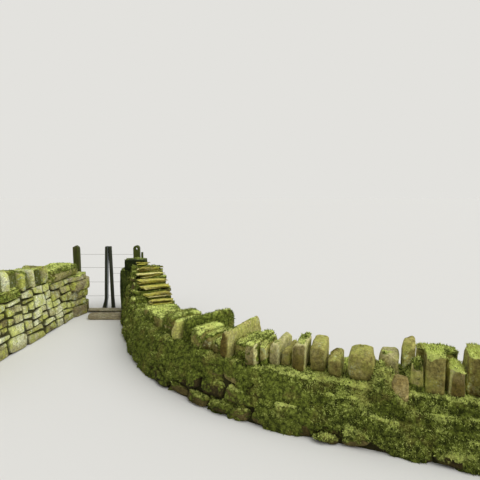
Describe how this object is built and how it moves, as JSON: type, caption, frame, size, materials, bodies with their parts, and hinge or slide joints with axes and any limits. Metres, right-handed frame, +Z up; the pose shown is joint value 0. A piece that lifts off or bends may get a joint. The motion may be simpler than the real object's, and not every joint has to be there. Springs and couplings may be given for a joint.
{
  "type": "squeeze stile in a dry stone wall",
  "caption": "Narrow gap between two dry stone walls with upright cope stones, a pair of timber uprights standing in it and a post and wire fence close behind.",
  "frame": {"origin": "on the ground, midway across the gap between the two wall heads, on the underside of the threshold slab", "axes": "+X to the right across the gap as seen from the path, +Y through the gap from the path to the field, +Z up"},
  "size_m": [6.2468, 4.5704, 1.065],
  "materials": {
    "left_stone": "rough split sandstone, lichened",
    "mossy_stone": "rough sandstone under moss",
    "bare_stone": "bare tan sandstone",
    "step_stone": "worn sandstone",
    "dark_timber": "dark weathered timber",
    "fence_timber": "green weathered timber",
    "fence_wire": "dull galvanised wire"
  },
  "bodies": {
    "root": {"left_wall": "left_stone", "left_head_foot_stone": "left_stone", "left_head_tilted_stone": "left_stone", "left_head_upright_stone": "left_stone", "left_head_projecting_stone": "left_stone", "left_head_thin_slab": "left_stone", "left_end_cope": "mossy_stone", "left_cope_tan": "left_stone", "left_cope_pale": "left_stone", "left_copes": "left_stone", "right_wall_straight": "mossy_stone", "right_wall_bend": "mossy_stone", "right_wall_outer": "mossy_stone", "right_flat_slabs": "mossy_stone", "right_stoop": "mossy_stone", "right_stoop_cap": "mossy_stone", "right_cope_1": "mossy_stone", "right_cope_2": "mossy_stone", "right_cope_3": "mossy_stone", "right_cope_4": "mossy_stone", "right_cope_5": "mossy_stone", "right_cope_6": "mossy_stone", "right_cope_7": "mossy_stone", "right_cope_8": "mossy_stone", "right_cope_9": "mossy_stone", "right_cope_10": "mossy_stone", "right_cope_11": "mossy_stone", "right_cope_12": "mossy_stone", "right_cope_13": "mossy_stone", "right_small_copes": "mossy_stone", "right_outer_copes": "mossy_stone", "right_wedge_stone": "bare_stone", "threshold_slab": "step_stone", "step_stone": "step_stone", "gap_upright_left": "dark_timber", "gap_upright_right": "dark_timber", "gap_packing_block": "dark_timber", "fence_post_left": "fence_timber", "fence_post_right": "fence_timber", "fence_batten": "fence_timber", "fence_wires": "fence_wire"}
  },
  "joints": []
}
